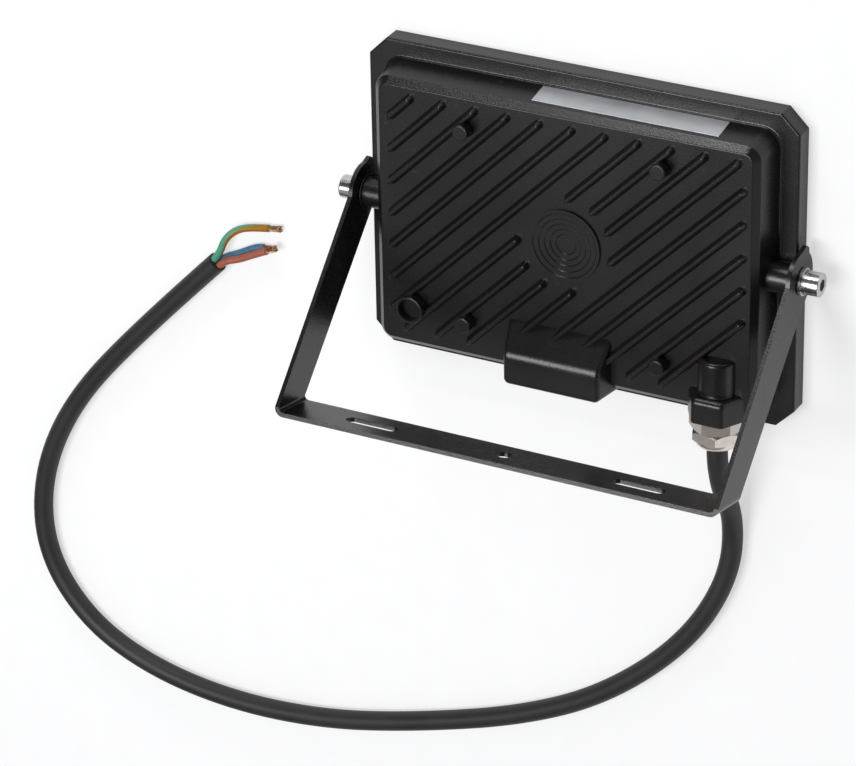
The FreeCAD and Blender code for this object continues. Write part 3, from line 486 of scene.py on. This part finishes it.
def add_tube(bm, line, radius, sides):
    """Round tube along a line, extruded ring by ring; u along it, v around it."""
    uv = bm.loops.layers.uv.verify()
    side = (line[1] - line[0]).orthogonal().normalized()
    frames = []
    for i, at in enumerate(line):
        ahead = (line[min(i + 1, len(line) - 1)] - line[max(i - 1, 0)]).normalized()
        side = (side - ahead * side.dot(ahead)).normalized()
        facing = Matrix((side, ahead.cross(side), ahead)).transposed().to_4x4()
        frames.append(Matrix.Translation(at) @ facing)
    ring = bmesh.ops.create_circle(
        bm, cap_ends=True, segments=sides, radius=radius, matrix=frames[0]
    )["verts"]
    edges = list({e for v in ring for e in v.link_edges})
    far = 0.0
    for a, b in zip(frames, frames[1:]):
        made = bmesh.ops.extrude_edge_only(bm, edges=edges)["geom"]
        ring = {g for g in made if isinstance(g, bmesh.types.BMVert)}
        walls = [g for g in made if isinstance(g, bmesh.types.BMFace)]
        bmesh.ops.transform(bm, matrix=b @ a.inverted(), verts=list(ring))
        step = (b.translation - a.translation).length
        for face in walls:
            face.smooth = True
            places = []
            for loop in face.loops:
                out = loop.vert in ring
                spot = (b if out else a).inverted() @ loop.vert.co
                v = math.atan2(spot.y, spot.x) / (2 * math.pi) % 1.0
                places.append((loop, (far + (step if out else 0.0)) / UV_STEP, v))
            seam = max(p[2] for p in places) - min(p[2] for p in places) > 0.5
            for loop, u, v in places:
                loop[uv].uv = (u, v + 1.0 if seam and v < 0.5 else v)
        edges = [
            g for g in made
            if isinstance(g, bmesh.types.BMEdge) and g.verts[0] in ring and g.verts[1] in ring
        ]
        far += step
    bmesh.ops.contextual_create(bm, geom=edges)


def piece_from(bm, name):
    bmesh.ops.recalc_face_normals(bm, faces=bm.faces)
    mesh = bpy.data.meshes.new(name)
    bm.to_mesh(mesh)
    bm.free()
    made = bpy.data.objects.new(name, mesh)
    scene.collection.objects.link(made)
    return made


# copper strands of a bare end; a ring is how many lie how far from the middle, from which angle on

STRAND_R = 0.00024
STRAND_SIDES = 6
STRAND_RINGS = ((1, 0.0, 0.0), (6, 0.00052, 0.0), (12, 0.00098, 0.2))
STRAND_TWIST = 1.1
STRAND_STEPS = 7


def bare_strands(name, start, way, length):
    """Strands twisted a little, splayed at their tips and cut unevenly."""
    bm = bmesh.new()
    side = way.orthogonal().normalized()
    over = way.cross(side)
    places = [
        (radius, first + i * 2 * math.pi / number)
        for number, radius, first in STRAND_RINGS for i in range(number)
    ]
    for count, (radius, angle) in enumerate(places):
        reach = length * (1.0 - 0.10 * ((count * 7) % 5) / 4)
        line = []
        for step in range(STRAND_STEPS + 1):
            f = step / STRAND_STEPS
            t = angle + STRAND_TWIST * f
            out = radius * (0.86 + 0.30 * f * f)
            line.append(start + way * (reach * f) + (side * math.cos(t) + over * math.sin(t)) * out)
        add_tube(bm, line, STRAND_R, STRAND_SIDES)
    return piece_from(bm, name)


# cores past the sheath's end: each point is ahead, to the left and up from there

CORE_R = 0.0014
CORE_SIDES = 20
BARE_OVERLAP = 0.0006
core_ways = {
    "core_green_yellow": [
        (0.0, 0.00147, 0.00085), (0.0036, 0.0016, 0.00085), (0.0102, 0.0046, 0.0006),
        (0.0162, 0.0043, -0.0010), (0.0218, 0.0009, -0.0021), (0.0272, -0.0033, -0.0021),
    ],
    "core_blue": [
        (0.0, 0.0, -0.0017), (0.0034, -0.0006, -0.0018), (0.0080, -0.0027, -0.0020),
        (0.0174, -0.0055, -0.0023), (0.0192, -0.0073, -0.0023),
    ],
    "core_brown": [
        (0.0, -0.00147, 0.00085), (0.0036, -0.0015, 0.00085), (0.0085, -0.0044, 0.0005),
        (0.0155, -0.0068, 0.0002), (0.0210, -0.0089, 0.0),
    ],
}
core_finish = {
    "core_green_yellow": banded_core("core_earth_pvc"),
    "core_blue": plastic("core_blue_pvc", (0.043, 0.135, 0.225), 0.42),
    "core_brown": plastic("core_brown_pvc", (0.32, 0.087, 0.052), 0.42),
}
bare_length = {"core_green_yellow": 0.0052, "core_blue": 0.0028, "core_brown": 0.0046}

end = Vector(sheath_points[-1])
ahead = (end - Vector(sheath_points[-2])).normalized()
left = Vector((-ahead.y, ahead.x, 0.0))
copper = strand_copper("bare_copper")
on_cable = []
for node, ways in core_ways.items():
    line = line_through([end + ahead * a + left * b + Vector((0, 0, c)) for a, b, c in ways])
    bm = bmesh.new()
    add_tube(bm, line, CORE_R, CORE_SIDES)
    tube = piece_from(bm, node.replace("core_", "cable_core_"))
    tube.data.materials.append(core_finish[node].data)
    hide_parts(node)
    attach(tube, "lamp")
    way = (line[-1] - line[-2]).normalized()
    tip = bare_strands(
        node.replace("core_", "bare_end_"), line[-1] - way * BARE_OVERLAP, way,
        bare_length[node] + BARE_OVERLAP,
    )
    tip.data.materials.append(copper.data)
    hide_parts("copper_ends")
    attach(tip, "lamp")
    on_cable += [tube, tip]

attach(sheath, "lamp")


# cable gland: outlines are radius and y, turned about the cable's axis; flats are across the hexagon

BODY_FLATS = 0.0174
BODY_CORNER_R = 0.0103
BODY_BORE_R = 0.0056
NECK_R = 0.0066
THREAD_R = 0.00745
THREAD_ROOT_R = 0.0069
THREAD_PITCH = 0.0015
THREAD_TURNS = 4
NUT_FLATS = 0.0168
NUT_CORNER_R = 0.0100
NUT_BORE_R = 0.0069
NUT_MOUTH_R = 0.0043
LATHE_STEPS = 96
SOFT_EDGE = 0.00018
# the nut's domed end: radius, and how far it is from the nut's end face
NUT_DOME = (
    (0.00838, 0.0032), (0.00830, 0.0026), (0.00805, 0.0019), (0.00765, 0.0013),
    (0.00705, 0.0007), (0.00625, 0.0003), (0.0052, 0.0),
)


def gland_part(name, outline, flats_over, turn):
    """Turned blank with six flats cut on it; its axis runs along y."""
    bm = bmesh.new()
    corners = [bm.verts.new((r, y, 0.0)) for r, y in outline]
    edges = [bm.edges.new(pair) for pair in zip(corners, corners[1:] + corners[:1])]
    bmesh.ops.spin(
        bm, geom=corners + edges, cent=(0, 0, 0), axis=(0, 1, 0), angle=2 * math.pi,
        steps=LATHE_STEPS, use_merge=True,
    )
    bmesh.ops.recalc_face_normals(bm, faces=bm.faces)
    for i in range(6):
        a = turn + math.radians(60 * i + 30)
        out = Vector((math.cos(a), 0, math.sin(a)))
        cut = bmesh.ops.bisect_plane(
            bm, geom=bm.verts[:] + bm.edges[:] + bm.faces[:], dist=1e-7,
            plane_co=out * flats_over / 2, plane_no=out, clear_outer=True,
        )["geom_cut"]
        rim = [g for g in cut if isinstance(g, bmesh.types.BMEdge)]
        bmesh.ops.contextual_create(bm, geom=rim)
    bmesh.ops.translate(bm, vec=(CABLE_EXIT[0], 0.0, CABLE_EXIT[2]), verts=bm.verts)
    for face in bm.faces:
        face.smooth = True
    made = piece_from(bm, name)
    soft = made.modifiers.new("soft_edges", "BEVEL")
    soft.width = SOFT_EDGE
    soft.segments = 2
    soft.limit_method = "ANGLE"
    soft.angle_limit = math.radians(20)
    soft.harden_normals = True
    return made


hexagon_end, thread_end = (corner.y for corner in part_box("gland_body"))
nut_end, nut_start = (corner.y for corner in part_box("gland_nut"))
neck_end = nut_end + 0.0032
collar_face = hexagon_end + 0.00455

body_outline = [
    (BODY_BORE_R, neck_end), (NECK_R, neck_end), (NECK_R, hexagon_end), (0.0089, hexagon_end),
    (BODY_CORNER_R, hexagon_end + 0.0009), (BODY_CORNER_R, collar_face - 0.00045),
    (0.0101, collar_face), (0.0070, collar_face),
]
for i in range(THREAD_TURNS):
    crest = hexagon_end + 0.0052 + THREAD_PITCH * i
    body_outline += [(THREAD_R, crest), (THREAD_ROOT_R, crest + THREAD_PITCH / 2)]
body_outline += [(THREAD_R, thread_end), (BODY_BORE_R, thread_end)]

nut_outline = [
    (NUT_BORE_R, nut_start), (0.0085, nut_start), (NUT_CORNER_R, nut_start - 0.0009),
    (NUT_CORNER_R, nut_start - 0.0030), (0.0090, nut_start - 0.0037),
    *[(r, nut_end + rise) for r, rise in NUT_DOME],
    (0.0044, nut_end), (NUT_MOUTH_R, nut_end + 0.0002), (NUT_MOUTH_R, nut_end + 0.0020),
    (NUT_BORE_R, nut_end + 0.0020),
]
for node, outline, flats_over, angle in (
    ("gland_body", body_outline, BODY_FLATS, 40), ("gland_nut", nut_outline, NUT_FLATS, 11),
):
    made = gland_part(node + "_turned", outline, flats_over, math.radians(angle))
    made.data.materials.append(FINISHES[node].data)
    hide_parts(node)
    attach(made, "lamp")


def softbox(name, at, aim, width, depth, power):
    data = bpy.data.lights.new(name, "AREA")
    data.energy = power
    data.shape = "RECTANGLE"
    data.size = width
    data.size_y = depth
    made = bpy.data.objects.new(name, data)
    made.location = at
    made.rotation_euler = (Vector(aim) - Vector(at)).to_track_quat("-Z", "Y").to_euler()
    scene.collection.objects.link(made)


softbox("overhead", (-0.27, 0.04, 1.18), (-0.27, 0.04, 0), 0.72, 0.46, 10.4)
softbox("behind_top_edge", (-0.22, 1.05, 0.39), (0, 0.05, 0.02), 0.44, 0.28, 3.4)


class Sky(Finish):
    """The room's light, built with the same nodes as a finish."""

    def __init__(self, name):
        self.data = bpy.data.worlds.new(name)
        self.start("ShaderNodeOutputWorld")

    def glow(self, colour, strength):
        values = {"Color": colour, "Strength": strength}
        return self.node("ShaderNodeBackground", {}, values)["Background"]

    def blend(self, factor, a, b):
        return self.node("ShaderNodeMixShader", {}, {0: factor, 1: a, 2: b})["Shader"]


def studio():
    """White to the camera, a soft room to the surfaces, and a shaped room to their gloss."""
    sky = Sky("studio")
    way = sky.axes(sky.node("ShaderNodeTexCoord")["Generated"])
    ray = sky.node("ShaderNodeLightPath")
    # bright low down, and higher up towards +x; above that dark, but for a dim panel towards -y
    low = 0.92 - (way["Z"] - way["X"] * 0.22).band(0.02, 0.26) * 0.86
    panel = way["Y"].band(-0.10, -0.45) * way["Z"].band(0.35, 0.60) * 0.28
    plain = sky.glow((0.92, 0.94, 1.0), 0.42)
    shone = sky.glow((1.0, 1.0, 1.0), low + panel)
    white = sky.glow((1.0, 1.0, 1.0), 1.0)
    lit = sky.blend(ray["Is Glossy Ray"], plain, shone)
    seen = ray["Is Camera Ray"].larger(ray["Is Transmission Ray"])
    sky.join(sky.blend(seen, lit, white))
    return sky.data


def floor_paper(name):
    """Matt white paper that glows a little where it is seen, so that its shadows stay soft."""
    m = Finish(name)
    fibre = m.noise(90.0, 4.0)
    ray = m.node("ShaderNodeLightPath")
    shown = ray["Is Camera Ray"].larger(ray["Is Glossy Ray"]).larger(ray["Is Transmission Ray"])
    paper = m.ramp(fibre, (0.3, (0.90, 0.90, 0.90)), (0.7, (0.93, 0.93, 0.93)))
    shade = m.mix(ray["Is Glossy Ray"], (1.0, 1.0, 1.0), (0.65, 0.65, 0.65))
    matt = m.node(
        "ShaderNodeBsdfPrincipled", {},
        {"Base Color": paper, "Roughness": 0.9, "Specular IOR Level": 0.1},
    )["BSDF"]
    glow = m.node("ShaderNodeEmission", {}, {"Color": shade, "Strength": 1.0})["Emission"]
    m.join(m.node("ShaderNodeMixShader", {}, {0: shown * 0.55, 1: matt, 2: glow})["Shader"])
    return m.data


FLOOR_R = 4.0
FLOOR_GAP = 0.0002

scene.world = studio()
bm = bmesh.new()
bmesh.ops.create_circle(bm, cap_ends=True, segments=64, radius=FLOOR_R)
mesh = bpy.data.meshes.new("floor")
bm.to_mesh(mesh)
bm.free()
floor = bpy.data.objects.new("floor", mesh)
floor.location = (0, 0, -FLOOR_GAP)
scene.collection.objects.link(floor)
floor.data.materials.append(floor_paper("floor_paper"))

scene.view_settings.view_transform = "Standard"
